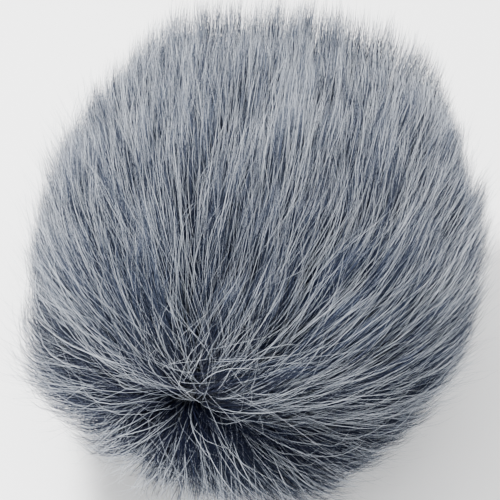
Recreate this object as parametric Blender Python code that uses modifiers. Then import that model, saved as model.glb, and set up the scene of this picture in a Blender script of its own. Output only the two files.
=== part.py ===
"""Slip-on furry windscreen (wind muff) for a hand-held stereo recorder.

The muff lies on its belly: +Z is up, the closed crown points to -Y, the mouth opens to +Y.
The origin is the centre of the flat that the belly rests on.
Two fur panels, two foam panels and two lining panels meet at one crown seam. A neoprene cuff
with an elastic drawcord in its channel closes the mouth, and a spring cord lock holds the cord.
"""

import math

import bmesh
import bpy
from mathutils import Matrix, Vector

MM = 0.001
GAP = 0.3 * MM  # clearance between pieces that touch
OVERRUN = 2 * MM  # how far a cutter reaches past what it cuts

# The space for the recorder's head, and the layers round it, from the inside out.
CAVITY_HALF_WIDTH = 35 * MM
CAVITY_HALF_HEIGHT = 22 * MM
CAVITY_FRONT = 35 * MM  # from the widest section to the cavity's closed end
LINING_THICKNESS = 0.8 * MM
FOAM_THICKNESS = 5 * MM
FUR_SIDE = 22.3 * MM  # backing and combed pile at the sides
FUR_TOP = 27 * MM  # the same above and below
FUR_CROWN = 26 * MM  # the same at the closed end

# The form of every layer: superellipse profiles, widest at Y = 0 and gathered towards the mouth.
FORM_POWER = 2.3
PANEL_LENGTH = 58 * MM  # from the widest section to the panels' rear edge
INNER_TAPER = 26 * MM  # from there to where the inner layers' form would close
FUR_TAPER = 12 * MM  # from there to where the fur's form would close
BELLY_SINK = 4 * MM  # how far the pile under the belly is pressed flat
SEAM_SLANT = 15.0  # degrees that the crown seam runs off level, its -X end higher
FORM_STEPS = 36
PROFILE_POINTS = 6

TAPE_WIDTH = 8 * MM
TAPE_THICKNESS = 0.8 * MM

# The cuff: an oval band, flush with the lining, whose wall has a channel for the drawcord.
CUFF_WALL = 8 * MM
CUFF_LENGTH = 13.7 * MM
CUFF_EDGE = 0.4 * MM
BINDING_THICKNESS = 0.8 * MM
BINDING_LENGTH = 11 * MM
STITCH_DIAMETER = 0.5 * MM
STITCH_INSET = 2.5 * MM  # from the cuff's edge to each row of stitching
OVAL_POINTS = 48

# The drawcord and the eyelet it leaves by.
CORD_DIAMETER = 1.8 * MM
CORD_BEND = 4 * MM
EYELET_WALL = 0.45 * MM
EYELET_RIM = 0.8 * MM  # how far the flange stands out from the barrel
EYELET_FLANGE = 0.5 * MM
EYELET_BARREL = 3 * MM

# The cord lock: a barrel across the cord, a sprung plunger in it, and a bell on the cord's ends.
LOCK_RADIUS = 5 * MM
LOCK_WALL = 1.2 * MM
LOCK_EDGE = 0.8 * MM
PLUNGER_TRAVEL = 2.5 * MM
PLUNGER_WEB = 1.4 * MM  # between the plunger's slot and its inner end
PLUNGER_HEAD = 1.6 * MM  # from the slot to the lock's open end
PLUNGER_PROUD = 3.2 * MM  # how far the button stands out of the lock
SPRING_WIRE = 0.45 * MM
SPRING_TURNS = 3
LOCK_TRAVEL = 8 * MM
END_RADIUS = 3.4 * MM
END_LENGTH = 9 * MM
END_POCKET = 5 * MM

INNER_GATHER = PANEL_LENGTH + INNER_TAPER
FUR_GATHER = PANEL_LENGTH + FUR_TAPER
FUR_HALF_WIDTH = CAVITY_HALF_WIDTH + LINING_THICKNESS + FOAM_THICKNESS + 2 * GAP + FUR_SIDE
FUR_HALF_HEIGHT = CAVITY_HALF_HEIGHT + LINING_THICKNESS + FOAM_THICKNESS + 2 * GAP + FUR_TOP
AXIS_Z = FUR_HALF_HEIGHT - BELLY_SINK
MOUTH_SHARE = (1 - (PANEL_LENGTH / INNER_GATHER) ** FORM_POWER) ** (1 / FORM_POWER)
CUFF_HALF_WIDTH = CAVITY_HALF_WIDTH * MOUTH_SHARE + CUFF_WALL / 2  # to the middle of its wall
CUFF_HALF_HEIGHT = CAVITY_HALF_HEIGHT * MOUTH_SHARE + CUFF_WALL / 2
CORD_SPACING = CORD_DIAMETER + GAP  # between the two strands, one above the other
STRANDS_RADIUS = (CORD_SPACING + CORD_DIAMETER) / 2 + GAP  # a hole that both strands clear
SPRING_LENGTH = PLUNGER_TRAVEL + (SPRING_TURNS + 0.5) * SPRING_WIRE
CUFF_FRONT = PANEL_LENGTH + GAP
RIM_Y = CUFF_FRONT + CUFF_LENGTH
CHANNEL_Y = CUFF_FRONT + CUFF_LENGTH / 2
EXIT_Z = AXIS_Z - CUFF_HALF_HEIGHT
LOCK_Y = RIM_Y + GAP + EYELET_FLANGE + GAP + LOCK_RADIUS
END_Y = LOCK_Y + LOCK_RADIUS + LOCK_TRAVEL + GAP
FAR = 0.2  # larger than anything here

COLOURS = {
    "pile": ((0.33, 0.37, 0.43), 0.75, 0.0),
    "foam": ((0.06, 0.06, 0.065), 0.95, 0.0),
    "lining": ((0.035, 0.036, 0.04), 0.8, 0.0),
    "tape": ((0.05, 0.052, 0.06), 0.7, 0.0),
    "neoprene": ((0.03, 0.03, 0.033), 0.65, 0.0),
    "thread": ((0.25, 0.27, 0.3), 0.6, 0.0),
    "cord": ((0.02, 0.02, 0.022), 0.6, 0.0),
    "eyelet": ((0.5, 0.5, 0.52), 0.3, 1.0),
    "lock": ((0.02, 0.02, 0.022), 0.4, 0.0),
    "spring": ((0.6, 0.6, 0.62), 0.25, 1.0),
}


def clear_scene():
    for obj in list(bpy.data.objects):
        bpy.data.objects.remove(obj)


def new_collection(name):
    collection = bpy.data.collections.new(name)
    bpy.context.scene.collection.children.link(collection)
    return collection


def make_material(name):
    colour, roughness, metallic = COLOURS[name]
    material = bpy.data.materials.new(name)
    material.use_nodes = True
    shader = material.node_tree.nodes["Principled BSDF"]
    shader.inputs["Base Color"].default_value = (*colour, 1)
    shader.inputs["Roughness"].default_value = roughness
    shader.inputs["Metallic"].default_value = metallic
    material.diffuse_color = (*colour, 1)
    return material


def link(obj, collection, material=None):
    collection.objects.link(obj)
    if material:
        obj.data.materials.clear()
        obj.data.materials.append(bpy.data.materials[material])
    else:
        obj.hide_render = True
        obj.display_type = "WIRE"
    return obj


def outward(mesh):
    """Welds a mesh's doubled points and turns its faces outwards."""
    form = bmesh.new()
    form.from_mesh(mesh)
    bmesh.ops.remove_doubles(form, verts=form.verts, dist=1e-6)
    bmesh.ops.recalc_face_normals(form, faces=form.faces)
    form.to_mesh(mesh)
    form.free()


def as_mesh(source, name, matrix=None):
    """A mesh object from what a curve or a modified object shows, with its faces outwards."""
    bpy.context.scene.collection.objects.link(source)
    bpy.context.view_layer.update()
    graph = bpy.context.evaluated_depsgraph_get()
    mesh = bpy.data.meshes.new_from_object(source.evaluated_get(graph))
    mesh.name = name
    mesh.transform(matrix or source.matrix_world)
    bpy.data.objects.remove(source)
    outward(mesh)
    return bpy.data.objects.new(name, mesh)


def turned(name, profile, steps, flatten=1.0):
    """A closed solid turned about the Y axis from (radius, y) points, then scaled along Z."""
    mesh = bpy.data.meshes.new(name)
    points = [(radius, y, 0) for radius, y in profile]
    mesh.from_pydata(points, [(i, i + 1) for i in range(len(points) - 1)], [])
    source = bpy.data.objects.new(name, mesh)
    screw = source.modifiers.new("turn", "SCREW")
    screw.axis = "Y"
    screw.steps = steps
    screw.render_steps = steps
    screw.use_merge_vertices = True
    screw.merge_threshold = 1e-5
    return as_mesh(source, name, Matrix.Diagonal((1, 1, flatten, 1)))


def superellipse(angle):
    power = 2 / FORM_POWER
    return math.sin(angle) ** power, math.cos(angle) ** power


def form_solid(name, half_width, half_height, front, gather, rear):
    """One layer's outer form: closed at the front, gathered to the mouth and cut flat at rear."""
    profile = [(0.0, -front)]
    for i in range(1, PROFILE_POINTS):
        radius, along = superellipse(math.pi / 2 * i / PROFILE_POINTS)
        profile.append((half_width * radius, -front * along))
    last = math.asin((rear / gather) ** (FORM_POWER / 2))
    for i in range(PROFILE_POINTS + 1):
        along, radius = superellipse(last * i / PROFILE_POINTS)
        profile.append((half_width * radius, gather * along))
    profile.append((0.0, rear))
    solid = turned(name, profile, FORM_STEPS, half_height / half_width)
    solid.data.transform(Matrix.Translation((0, 0, AXIS_Z)))
    return solid


def box(name, low, high, tilt=0.0):
    """A box between two corners, given from the muff's axis and tilted about it in degrees."""
    form = bmesh.new()
    bmesh.ops.create_cube(form, size=1)
    low = Vector(low)
    high = Vector(high)
    placed = Matrix.Translation((low + high) / 2) @ Matrix.Diagonal((*(high - low), 1))
    turn = Matrix.Translation((0, 0, AXIS_Z)) @ Matrix.Rotation(math.radians(tilt), 4, "Y")
    bmesh.ops.transform(form, matrix=turn @ placed, verts=form.verts)
    mesh = bpy.data.meshes.new(name)
    form.to_mesh(mesh)
    form.free()
    return bpy.data.objects.new(name, mesh)


def combine(obj, cutter, operation="DIFFERENCE"):
    boolean = obj.modifiers.new(cutter.name, "BOOLEAN")
    boolean.operation = operation
    boolean.object = cutter


def smooth(obj, angle=35.0):
    obj.data.shade_smooth()
    obj.data.set_sharp_from_angle(angle=math.radians(angle))


def panels(layer, outer, inner, parts, cutters, material):
    """A layer's upper and lower panel: the outer form less the inner one, on either side of the seam."""
    hollow = link(form_solid(f"{layer}_hollow", *inner, PANEL_LENGTH + OVERRUN), cutters)
    made = []
    for side, low, high in (("upper", GAP / 2, FAR), ("lower", -FAR, -GAP / 2)):
        panel = link(form_solid(f"{layer}_{side}", *outer, PANEL_LENGTH), parts, material)
        half = box(f"{layer}_{side}_half", (-FAR, -FAR, low), (FAR, FAR, high), SEAM_SLANT)
        combine(panel, hollow)
        combine(panel, link(half, cutters), "INTERSECT")
        smooth(panel)
        made.append(panel)
    return made


def shrunk(form, by):
    half_width, half_height, front, gather = form
    return half_width - by, half_height - by, front - by, gather


def make_layers(parts, cutters):
    lining_in = (CAVITY_HALF_WIDTH, CAVITY_HALF_HEIGHT, CAVITY_FRONT, INNER_GATHER)
    lining_out = shrunk(lining_in, -LINING_THICKNESS)
    foam_in = shrunk(lining_out, -GAP)
    foam_out = shrunk(foam_in, -FOAM_THICKNESS)
    fur_in = shrunk(foam_out, -GAP)
    fur_out = (FUR_HALF_WIDTH, FUR_HALF_HEIGHT, fur_in[2] + FUR_CROWN, FUR_GATHER)
    panels("lining_panel", lining_out, lining_in, parts, cutters, "lining")
    panels("foam_panel", foam_out, foam_in, parts, cutters, "foam")
    fur = panels("fur_panel", fur_out, fur_in, parts, cutters, "pile")
    floor = box("floor", (-FAR, -FAR, -FAR), (FAR, FAR, -AXIS_Z))
    combine(fur[1], link(floor, cutters))
    return lining_in


def make_crown_tape(lining_in, parts, cutters):
    """The tape that covers the seam's raw edges inside, from mouth to mouth round the crown."""
    outer = shrunk(lining_in, GAP)
    inner = shrunk(outer, TAPE_THICKNESS)
    rear = PANEL_LENGTH - BINDING_LENGTH / 2 - GAP
    tape = link(form_solid("crown_seam_tape", *outer, rear), parts, "tape")
    hollow = form_solid("crown_seam_tape_hollow", *inner, rear + OVERRUN)
    edge = TAPE_WIDTH / 2
    band = box("crown_seam_tape_band", (-FAR, -FAR, -edge), (FAR, FAR, edge), SEAM_SLANT)
    combine(tape, link(hollow, cutters))
    combine(tape, link(band, cutters), "INTERSECT")
    smooth(tape)


def oval_points(offset):
    """Points of the cuff's oval, pushed out along its normal, in the XZ plane round the axis."""
    points = []
    for i in range(OVAL_POINTS):
        angle = math.tau * i / OVAL_POINTS
        normal = Vector((CUFF_HALF_HEIGHT * math.cos(angle), CUFF_HALF_WIDTH * math.sin(angle)))
        normal.normalize()
        x = CUFF_HALF_WIDTH * math.cos(angle) + offset * normal.x
        z = CUFF_HALF_HEIGHT * math.sin(angle) + offset * normal.y
        points.append((x, z))
    return points


def add_line(curve, points, cyclic):
    spline = curve.splines.new("POLY")
    spline.points.add(len(points) - 1)
    for point, place in zip(spline.points, points):
        point.co = (*place, 1)
    spline.use_cyclic_u = cyclic


def oval_ring(name, outer, inner, front, rear, edge=0.0):
    """An oval band between two offsets of the cuff's oval, from front to rear along Y."""
    curve = bpy.data.curves.new(name, "CURVE")
    curve.dimensions = "2D"
    curve.fill_mode = "BOTH"
    curve.extrude = (rear - front) / 2 - edge
    curve.bevel_depth = edge
    curve.bevel_resolution = 1
    curve.offset = -edge
    for offset in (outer, inner):
        add_line(curve, [(x, z, 0) for x, z in oval_points(offset)], True)
    stand = Matrix.Rotation(math.radians(90), 4, "X")
    place = Matrix.Translation((0, (front + rear) / 2, AXIS_Z))
    return as_mesh(bpy.data.objects.new(name, curve), name, place @ stand)


def tube(name, points, radius, cyclic=False, sides=2):
    curve = bpy.data.curves.new(name, "CURVE")
    curve.dimensions = "3D"
    curve.bevel_depth = radius
    curve.bevel_resolution = sides
    curve.use_fill_caps = not cyclic
    add_line(curve, points, cyclic)
    return as_mesh(bpy.data.objects.new(name, curve), name)


def rod(name, radius, start, end, axis, centre, sides=24):
    """A cylinder along X or Y between two places on that axis, through centre."""
    form = bmesh.new()
    bmesh.ops.create_cone(
        form, cap_ends=True, segments=sides, radius1=radius, radius2=radius, depth=end - start
    )
    along = Vector((1, 0, 0)) if axis == "X" else Vector((0, 1, 0))
    turn = along.to_track_quat("Z", "Y").to_matrix().to_4x4()
    place = Matrix.Translation(Vector(centre) + along * (start + end) / 2)
    bmesh.ops.transform(form, matrix=place @ turn, verts=form.verts)
    mesh = bpy.data.meshes.new(name)
    form.to_mesh(mesh)
    form.free()
    return bpy.data.objects.new(name, mesh)


def make_cuff(parts, cutters):
    wall = CUFF_WALL / 2
    cuff = link(oval_ring("cuff", wall, -wall, CUFF_FRONT, RIM_Y, CUFF_EDGE), parts, "neoprene")
    ring = [(x, CHANNEL_Y, AXIS_Z + z) for x, z in oval_points(0)]
    combine(cuff, link(tube("cuff_channel", ring, STRANDS_RADIUS, True), cutters))
    bore = STRANDS_RADIUS + EYELET_WALL + GAP
    hole = rod("cuff_exit", bore, CHANNEL_Y, RIM_Y + OVERRUN, "Y", (0, 0, EXIT_Z))
    combine(cuff, link(hole, cutters))
    smooth(cuff)
    for name, y in (("front", CUFF_FRONT + STITCH_INSET), ("rear", RIM_Y - STITCH_INSET)):
        offset = wall + GAP + STITCH_DIAMETER / 2
        row = [(x, y, AXIS_Z + z) for x, z in oval_points(offset)]
        stitch = tube(f"cuff_stitching_{name}", row, STITCH_DIAMETER / 2, True, 0)
        smooth(link(stitch, parts, "thread"))


def make_mouth_binding(parts):
    """The binding that covers the panels' raw rear edges inside the mouth."""
    outer = -CUFF_WALL / 2 - 2 * GAP
    front = PANEL_LENGTH - BINDING_LENGTH / 2
    ring = oval_ring(
        "mouth_binding", outer, outer - BINDING_THICKNESS, front, front + BINDING_LENGTH
    )
    smooth(link(ring, parts, "tape"))


def cord_route():
    """The drawcord from one end, through the lock and eyelet, round the cuff and back out."""
    tip = END_Y + END_POCKET - GAP
    turn = CHANNEL_Y + CORD_BEND
    straight = [tip + (turn - tip) * i / 6 for i in range(6)]
    bend = [math.radians(90 - 15 * i) for i in range(6)]
    half = [(0.0, y, 1.0) for y in straight]
    half += [
        (-CORD_BEND * (1 - math.sin(a)), turn - CORD_BEND * math.cos(a), 1.0) for a in bend
    ]
    first = math.asin(CORD_BEND / CUFF_HALF_WIDTH)
    steps = 26
    route = [(x, y, EXIT_Z + lift * CORD_SPACING / 2) for x, y, lift in half]
    for i in range(2 * steps + 1):
        angle = first + (math.pi - first) * i / steps
        lift = max(0.0, 1 - 2.5 * (angle - first)) - max(0.0, 1 - 2.5 * (math.tau - first - angle))
        x = -CUFF_HALF_WIDTH * math.sin(angle)
        z = AXIS_Z - CUFF_HALF_HEIGHT * math.cos(angle)
        route.append((x, CHANNEL_Y, z + lift * CORD_SPACING / 2))
    route += [(-x, y, EXIT_Z - lift * CORD_SPACING / 2) for x, y, lift in reversed(half)]
    return route


def make_cord(parts):
    smooth(link(tube("drawcord", cord_route(), CORD_DIAMETER / 2), parts, "cord"), 60)


def make_eyelet(parts):
    bore = STRANDS_RADIUS
    outer = bore + EYELET_WALL
    rim = outer + EYELET_RIM
    face = RIM_Y + GAP
    profile = [
        (bore, face - EYELET_BARREL),
        (outer, face - EYELET_BARREL),
        (outer, face),
        (rim - EYELET_FLANGE / 3, face),
        (rim, face + EYELET_FLANGE / 2),
        (rim - EYELET_FLANGE / 2, face + EYELET_FLANGE),
        (bore + EYELET_FLANGE / 2, face + EYELET_FLANGE),
        (bore, face + EYELET_FLANGE / 2),
        (bore, face - EYELET_BARREL),
    ]
    eyelet = turned("eyelet", profile, 32)
    eyelet.data.transform(Matrix.Translation((0, 0, EXIT_Z)))
    smooth(link(eyelet, parts, "eyelet"))


def cord_slot(name, low_x, high_x, half_height, half_depth):
    """A cutter through the lock along the cord, between two places across it."""
    low = Vector((low_x, LOCK_Y - half_depth, EXIT_Z - AXIS_Z - half_height))
    high = Vector((high_x, LOCK_Y + half_depth, EXIT_Z - AXIS_Z + half_height))
    return box(name, low, high)


def make_lock(parts, cutters):
    """The lock's parts lie along X: spring at the -X end, button at the +X end."""
    cord = CORD_DIAMETER / 2 + GAP
    slot_low = -cord
    slot_high = cord + PLUNGER_TRAVEL
    stem_end = slot_low - PLUNGER_WEB
    floor_x = stem_end - GAP - SPRING_LENGTH - GAP
    open_x = slot_high + PLUNGER_HEAD
    centre = (0, LOCK_Y, EXIT_Z)

    body = rod("cord_lock_body", LOCK_RADIUS, floor_x - LOCK_WALL, open_x, "X", centre, 32)
    bevel = body.modifiers.new("edge", "BEVEL")
    bevel.width = LOCK_EDGE
    bevel.segments = 2
    bevel.limit_method = "ANGLE"
    bevel.angle_limit = math.radians(60)
    bore = LOCK_RADIUS - LOCK_WALL
    hollow = rod("cord_lock_bore", bore, floor_x, open_x + OVERRUN, "X", centre, 32)
    hole = cord_slot("cord_lock_hole", -cord, cord, STRANDS_RADIUS, LOCK_RADIUS + OVERRUN)
    link(body, parts, "lock")
    combine(body, link(hollow, cutters))
    combine(body, link(hole, cutters))
    smooth(body)

    button = bpy.data.objects.new("plunger_axis", None)
    button.location = centre
    parts.objects.link(button)
    stem = bore - GAP
    plunger = rod("cord_lock_plunger", stem, stem_end, open_x + PLUNGER_PROUD, "X", (0, 0, 0), 32)
    crown = plunger.modifiers.new("edge", "BEVEL")
    crown.width = LOCK_EDGE
    crown.segments = 2
    crown.limit_method = "ANGLE"
    crown.angle_limit = math.radians(60)
    link(plunger, parts, "lock")
    plunger.parent = button
    slot = cord_slot("plunger_slot", slot_low, slot_high, STRANDS_RADIUS, LOCK_RADIUS)
    combine(plunger, link(slot, cutters))
    smooth(plunger)

    coil = bore - GAP - SPRING_WIRE
    start = floor_x + GAP + SPRING_WIRE / 2
    length = SPRING_LENGTH - SPRING_WIRE
    count = SPRING_TURNS * 14
    turns = []
    for i in range(count + 1):
        angle = math.tau * SPRING_TURNS * i / count
        y = LOCK_Y + coil * math.cos(angle)
        turns.append((start + length * i / count, y, EXIT_Z + coil * math.sin(angle)))
    smooth(link(tube("cord_lock_spring", turns, SPRING_WIRE / 2), parts, "spring"), 60)


def make_cord_end(parts):
    profile = [
        (0.0, END_Y + END_POCKET),
        (STRANDS_RADIUS, END_Y + END_POCKET),
        (STRANDS_RADIUS, END_Y),
        (END_RADIUS * 0.85, END_Y),
        (END_RADIUS, END_Y + END_LENGTH * 0.07),
        (END_RADIUS, END_Y + END_LENGTH * 0.45),
        (END_RADIUS * 0.8, END_Y + END_LENGTH * 0.8),
        (END_RADIUS * 0.5, END_Y + END_LENGTH),
        (0.0, END_Y + END_LENGTH),
    ]
    bell = turned("cord_end", profile, 32)
    bell.data.transform(Matrix.Translation((0, 0, EXIT_Z)))
    smooth(link(bell, parts, "lock"))


def main():
    clear_scene()
    parts = new_collection("furry_windscreen")
    cutters = new_collection("cutters")
    for name in COLOURS:
        make_material(name)
    lining_in = make_layers(parts, cutters)
    make_crown_tape(lining_in, parts, cutters)
    make_cuff(parts, cutters)
    make_mouth_binding(parts)
    make_cord(parts)
    make_eyelet(parts)
    make_lock(parts, cutters)
    make_cord_end(parts)


main()
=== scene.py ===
import math

import bmesh
import bpy
import numpy as np
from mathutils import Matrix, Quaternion, Vector, kdtree


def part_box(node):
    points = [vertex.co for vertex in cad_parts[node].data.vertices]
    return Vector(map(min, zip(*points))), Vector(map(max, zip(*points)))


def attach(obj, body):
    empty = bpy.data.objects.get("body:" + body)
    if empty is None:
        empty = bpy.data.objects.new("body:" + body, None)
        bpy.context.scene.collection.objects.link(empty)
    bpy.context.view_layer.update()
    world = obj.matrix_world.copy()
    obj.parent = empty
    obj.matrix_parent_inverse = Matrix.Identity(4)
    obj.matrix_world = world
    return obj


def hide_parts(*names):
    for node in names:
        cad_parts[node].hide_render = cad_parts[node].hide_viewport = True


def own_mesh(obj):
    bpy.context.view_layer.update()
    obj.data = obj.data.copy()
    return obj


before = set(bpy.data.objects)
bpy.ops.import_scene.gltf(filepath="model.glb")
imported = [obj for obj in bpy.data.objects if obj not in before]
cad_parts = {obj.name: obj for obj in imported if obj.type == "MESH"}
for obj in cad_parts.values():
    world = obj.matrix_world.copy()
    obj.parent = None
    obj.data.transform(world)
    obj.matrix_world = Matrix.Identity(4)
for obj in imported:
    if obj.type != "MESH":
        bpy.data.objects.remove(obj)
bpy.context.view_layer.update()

MM = 0.001
UV_NAME = "OFBake"

# ---------------------------------------------------------------- places read from the frame
FUR_LOW = np.minimum(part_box("fur_panel_upper")[0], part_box("fur_panel_lower")[0])
FUR_HIGH = np.maximum(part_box("fur_panel_upper")[1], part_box("fur_panel_lower")[1])
FOAM_LOW = np.minimum(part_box("foam_panel_upper")[0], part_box("foam_panel_lower")[0])
FOAM_HIGH = np.maximum(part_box("foam_panel_upper")[1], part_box("foam_panel_lower")[1])
LINING_LOW = np.minimum(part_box("lining_panel_upper")[0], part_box("lining_panel_lower")[0])
LINING_HIGH = np.maximum(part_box("lining_panel_upper")[1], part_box("lining_panel_lower")[1])
CUFF_LOW = np.array(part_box("cuff")[0])
CUFF_HIGH = np.array(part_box("cuff")[1])

AXIS_Z = (CUFF_LOW[2] + CUFF_HIGH[2]) / 2
LOCK_LOW, LOCK_HIGH = np.array(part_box("cord_lock_body")[0]), np.array(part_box("cord_lock_body")[1])
LOCK_Z = (LOCK_LOW[2] + LOCK_HIGH[2]) / 2
LOCK_CLEAR_X = 13 * MM
LOCK_CLEAR_Y = 0.5 * MM
LOCK_CLEAR_Z = 9 * MM
PANEL_REAR = FUR_HIGH[1]
RIM_Y = CUFF_HIGH[1]
FUR_CROWN = -FUR_LOW[1]
FUR_HALF = np.array([(FUR_HIGH[0] - FUR_LOW[0]) / 2, FUR_HIGH[2] - AXIS_Z])
FOAM_HALF = (FOAM_HIGH - FOAM_LOW)[[0, 2]] / 2
LINING_HALF = (LINING_HIGH - LINING_LOW)[[0, 2]] / 2
FOAM_WALL = 5 * MM
LINING_WALL = 0.8 * MM
BACKING = 1.0 * MM  # the thickness of the fur's knitted backing
BACKING_GAP = 0.4 * MM
BACK_HALF = FOAM_HALF + BACKING_GAP
BACK_CROWN = -FOAM_LOW[1] + BACKING_GAP

# ---------------------------------------------------------------- the form that the fur follows
FORM_POWER = 2.3
FUR_POWER = 2.7  # the combed pile stands fuller than the layers under it
GIRTH_POWER = 2.5  # the same across the muff, where 2 would be an oval
FUR_TAPER = 18 * MM  # past the rear edge, where the form would close to a point
INNER_TAPER = 26 * MM
OVERHANG = 22 * MM  # how far the pile reaches past the panels' rear edge
PAST = 30 * MM  # how far the form's tables go on past that edge
PAST_STEPS = 60
FUR_DRAWN_IN = 0.08  # how much nearer the axis the pile's outside is at the tables' end
BACK_LET_OUT = 0.3  # and how much further from it the pile's inside is there
SEAM_SLANT = math.radians(15)
CHIN_TUCK = 0.24  # how much nearer the axis the pile's outside is under the closed end
CHIN_SIDE = 0.7  # how far down the side, from 0 to 1, the tuck is whole
CHIN_REAR = 20 * MM  # where the tuck starts
CHIN_LENGTH = 60 * MM  # how far in front of that it is whole
HALF_STEPS = 240  # in each half of a meridian


def meridian(crown, taper, power=FORM_POWER):
    """A layer's y and its share of the widest radius, from the crown to the panels' rear edge."""
    turn = np.linspace(0, math.pi / 2, HALF_STEPS)
    rear = np.linspace(0, PANEL_REAR, HALF_STEPS)[1:]
    y = np.concatenate([-crown * np.cos(turn) ** (2 / power), rear])
    front_share = np.sin(turn) ** (2 / power)
    rear_share = (1 - (rear / (PANEL_REAR + taper)) ** power) ** (1 / power)
    return y, np.concatenate([front_share, rear_share])


def form_tables():
    """Along a meridian of the pile's middle: the length, then y and radius share outside and inside."""
    fur_y, fur_share = meridian(FUR_CROWN, FUR_TAPER, FUR_POWER)
    back_y, back_share = meridian(BACK_CROWN, INNER_TAPER)
    out = np.linspace(0, PAST, PAST_STEPS)[1:]
    fur_y = np.concatenate([fur_y, PANEL_REAR + out])
    back_y = np.concatenate([back_y, PANEL_REAR + out])
    fur_share = np.concatenate([fur_share, fur_share[-1] * (1 - FUR_DRAWN_IN * out / PAST)])
    back_share = np.concatenate([back_share, back_share[-1] * (1 + BACK_LET_OUT * out / PAST)])
    middle_y = (fur_y + back_y) / 2
    middle_r = (fur_share * FUR_HALF[0] + back_share * BACK_HALF[0]) / 2
    steps = np.hypot(np.diff(middle_y), np.diff(middle_r))
    return np.concatenate([[0], np.cumsum(steps)]), fur_y, fur_share, back_y, back_share


LENGTH, FUR_Y, FUR_SHARE, BACK_Y, BACK_SHARE = form_tables()
REAR_LENGTH = LENGTH[2 * HALF_STEPS - 2]
END_LENGTH = LENGTH[-1]


def lump(points, scale, seed, count=5):
    """Smooth seeded noise, about -1 to 1, from a few plane waves."""
    random = np.random.default_rng(seed)
    total = np.zeros(len(points))
    for _ in range(count):
        way = random.normal(size=points.shape[1])
        way /= np.linalg.norm(way)
        total += np.sin(points @ way * math.tau / (scale * random.uniform(0.7, 1.5)) + random.uniform(0, 9))
    return total / count * 1.6


def soft_step(value):
    """0 up to 0, 1 from 1 on, and smooth between them."""
    value = np.clip(value, 0, 1)
    return value * value * (3 - 2 * value)


def on_form(disk, height):
    """World points for places on the unrolled disk (crown at its centre) and heights from 0 to 1."""
    along = np.linalg.norm(disk, axis=1)
    way = disk / np.maximum(along, 1e-9)[:, None]
    along = np.clip(along, 0, END_LENGTH)
    fur_y = np.interp(along, LENGTH, FUR_Y)
    fur_r = np.interp(along, LENGTH, FUR_SHARE)
    back_y = np.interp(along, LENGTH, BACK_Y)
    back_r = np.interp(along, LENGTH, BACK_SHARE)
    fuller = (np.abs(way) ** GIRTH_POWER).sum(1).clip(1e-9) ** (-1 / GIRTH_POWER)
    chin = soft_step(-way[:, 1] / CHIN_SIDE) * soft_step((CHIN_REAR - fur_y) / CHIN_LENGTH)
    fur_r = fur_r * fuller * (1 - CHIN_TUCK * chin)
    fur = np.stack([way[:, 0] * fur_r * FUR_HALF[0], fur_y, way[:, 1] * fur_r * FUR_HALF[1]], 1)
    back = np.stack([way[:, 0] * back_r * BACK_HALF[0], back_y, way[:, 1] * back_r * BACK_HALF[1]], 1)
    point = back + (fur - back) * height[:, None]
    point[:, 2] += AXIS_Z
    return point


SEAM_NORMAL = np.array([math.sin(SEAM_SLANT), math.cos(SEAM_SLANT)])
NAP_CENTRE = np.array([-math.cos(SEAM_SLANT), math.sin(SEAM_SLANT)]) * 16 * MM  # on the seam, off the crown
NAP_FADE = 50 * MM  # how far out the nap still turns round that centre and not round the crown
PAINTED_SHADE_CENTRE = np.array([14 * MM, 20 * MM])  # the middle of the pile's darkest part, where shade is painted into the hair's tone
PAINTED_SHADE_REACH = 36 * MM
COMB_RIGHT = 0.3  # how far the pile on the right is combed up over the body, in radians
PART_REACH = 18 * MM
PART_EDGE = 2.5 * MM  # half the width of the parting itself
PART_ABOVE, PART_BELOW = 1.5, 0.55  # how strongly the nap leaves the seam, above and below it
SEAM_FADE = 60 * MM  # how far from the crown the seam still shapes the pile
DIP = 0.55  # how much lower the pile stands along the seam
DIP_ABOVE, DIP_BELOW = 8, 4  # millimetres either side of it


def flow(disk, swing):
    """The nap's direction on the unrolled disk: away from the crown, parted along the seam."""
    away = disk - NAP_CENTRE * np.exp(-((disk ** 2).sum(1) / NAP_FADE ** 2))[:, None]
    along = np.linalg.norm(away, axis=1)
    way = away / np.maximum(along, 4 * MM)[:, None]
    side = disk @ SEAM_NORMAL
    near = np.exp(-np.abs(side) / PART_REACH) * np.exp(-((along / SEAM_FADE) ** 2))
    part = np.tanh(side / PART_EDGE) * near * np.where(side > 0, PART_ABOVE, PART_BELOW)
    way = way + SEAM_NORMAL * part[:, None]
    way /= np.linalg.norm(way, axis=1)[:, None] + 1e-9
    cos, sin = np.cos(swing), np.sin(swing)
    return np.stack([way[:, 0] * cos - way[:, 1] * sin, way[:, 0] * sin + way[:, 1] * cos], 1)


def sample_roots(random, count, low, high):
    """Random places on the unrolled disk between two lengths, even over the fur's area."""
    grid = np.linspace(low, high, 400)
    weight = np.cumsum(np.interp(grid, LENGTH, 0.5 * FUR_SHARE + 0.5 * BACK_SHARE))
    along = np.interp(random.uniform(0, weight[-1], count), weight, grid)
    turn = np.linspace(0, math.tau, 721)
    width, height = FUR_HALF
    edge = np.cumsum(np.hypot(width * np.sin(turn), height * np.cos(turn)))
    angle = np.interp(random.uniform(0, edge[-1], count), edge, turn)
    return np.stack([along * np.cos(angle), along * np.sin(angle)], 1)


def seam_dip(disk):
    """How much lower the pile stands in the valley along the crown seam, as a share of its height."""
    along = np.linalg.norm(disk, axis=1)
    side = disk @ SEAM_NORMAL
    width = np.where(side > 0, DIP_ABOVE, DIP_BELOW) * MM
    return DIP * np.exp(-((side / width) ** 2)) * np.exp(-((along / SEAM_FADE) ** 2))


USUAL_REACH = 33 * MM
RIM_LUMP = 13 * MM  # the width of the tufts at the rear rim
RIM_UNEVEN = 2.5 * MM  # how much further some of them reach
STEP_POWER = 1.15  # over 1, a strand's points lie closer near its root


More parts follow.
